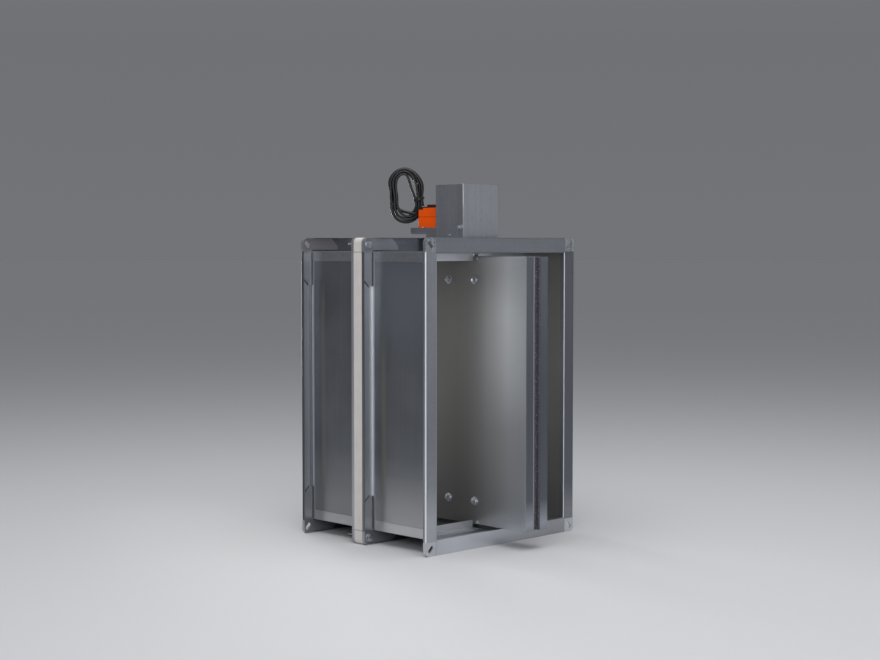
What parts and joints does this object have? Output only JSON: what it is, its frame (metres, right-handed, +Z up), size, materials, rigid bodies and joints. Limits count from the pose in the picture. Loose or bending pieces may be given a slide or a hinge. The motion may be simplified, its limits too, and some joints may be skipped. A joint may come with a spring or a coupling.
{
  "type": "fire damper",
  "caption": "Rectangular duct fire damper with two flanged casing sections, a thermal break, a pivoting insulated blade, an actuator on top and a coiled pair of cables.",
  "frame": {"origin": "centre of the front duct opening, in the face of the front connection flange", "axes": "+X to the right across the duct, +Y into the casing along the air, +Z up along the duct height and the blade axis"},
  "size_m": [0.463, 0.5, 0.823],
  "materials": {
    "galvanised_sheet": "galvanised sheet, satin",
    "galvanised_corner": "galvanised pressing, mottled",
    "blade_sheet": "galvanised sheet, satin",
    "zinc_fixing": "zinc plated",
    "steel": "turned or cast, zinc plated",
    "break_board": "sawn mineral board",
    "core_board": "sawn mineral board",
    "centre_board": "dark mineral board",
    "seal": "extruded rubber, satin",
    "bronze": "sintered",
    "brass": "drawn tube",
    "orange_housing": "moulded, fine texture",
    "black_plastic": "moulded",
    "red_plastic": "moulded",
    "cable_sheath": "satin sheath"
  },
  "bodies": {
    "casing": {"casing_front_top": "galvanised_sheet", "casing_front_bottom": "galvanised_sheet", "casing_front_left": "galvanised_sheet", "casing_front_right": "galvanised_sheet", "casing_rear_top": "galvanised_sheet", "casing_rear_bottom": "galvanised_sheet", "casing_rear_left": "galvanised_sheet", "casing_rear_right": "galvanised_sheet", "flange_inlet_top": "galvanised_sheet", "flange_inlet_right": "galvanised_sheet", "flange_inlet_bottom": "galvanised_sheet", "flange_inlet_left": "galvanised_sheet", "flange_break_front_levels": "galvanised_sheet", "flange_break_front_uprights": "galvanised_sheet", "flange_break_rear_levels": "galvanised_sheet", "flange_break_rear_uprights": "galvanised_sheet", "flange_outlet_top": "galvanised_sheet", "flange_outlet_right": "galvanised_sheet", "flange_outlet_bottom": "galvanised_sheet", "flange_outlet_left": "galvanised_sheet", "front_stops": "galvanised_sheet", "rear_stops": "galvanised_sheet", "console": "galvanised_sheet", "cover_box": "galvanised_sheet", "corners_inlet": "galvanised_corner", "corners_break_front": "galvanised_corner", "corners_break_rear": "galvanised_corner", "corners_outlet": "galvanised_corner", "break_board_left": "break_board", "break_board_top": "break_board", "break_board_right": "break_board", "break_board_bottom": "break_board", "joint_bolts": "zinc_fixing", "joint_nuts": "zinc_fixing", "cover_screws": "zinc_fixing", "upper_bush": "bronze", "lower_bush": "bronze", "actuator_housing": "orange_housing", "actuator_cable_end": "black_plastic", "tripping_device": "black_plastic", "temperature_probe": "brass", "cable_hank": "cable_sheath", "supply_cable": "cable_sheath", "signal_cable": "cable_sheath", "cable_tie": "black_plastic"},
    "blade": {"blade_cassette_left": "blade_sheet", "blade_cassette_right": "blade_sheet", "blade_core_left": "core_board", "blade_core_right": "core_board", "blade_centre_board": "centre_board", "blade_seal": "seal", "drive_shaft": "steel", "idle_shaft": "steel", "shaft_bracket_upper": "steel", "shaft_bracket_lower": "steel", "blade_bolts": "zinc_fixing", "blade_nuts": "zinc_fixing", "shaft_clamp": "steel", "position_pointer": "red_plastic"},
    "button": {"test_button": "red_plastic"}
  },
  "joints": [
    {"name": "blade_swing", "type": "hinge", "parent": "casing", "child": "blade", "pos_m": [0, 0.091, 0], "axis": [0, 0, 1], "range_deg": [0, 90]},
    {"name": "button_press", "type": "slide", "parent": "casing", "child": "button", "axis": [0, -1, 0], "range_m": [0, 0.002], "stiffness_N_per_m": 400}
  ]
}
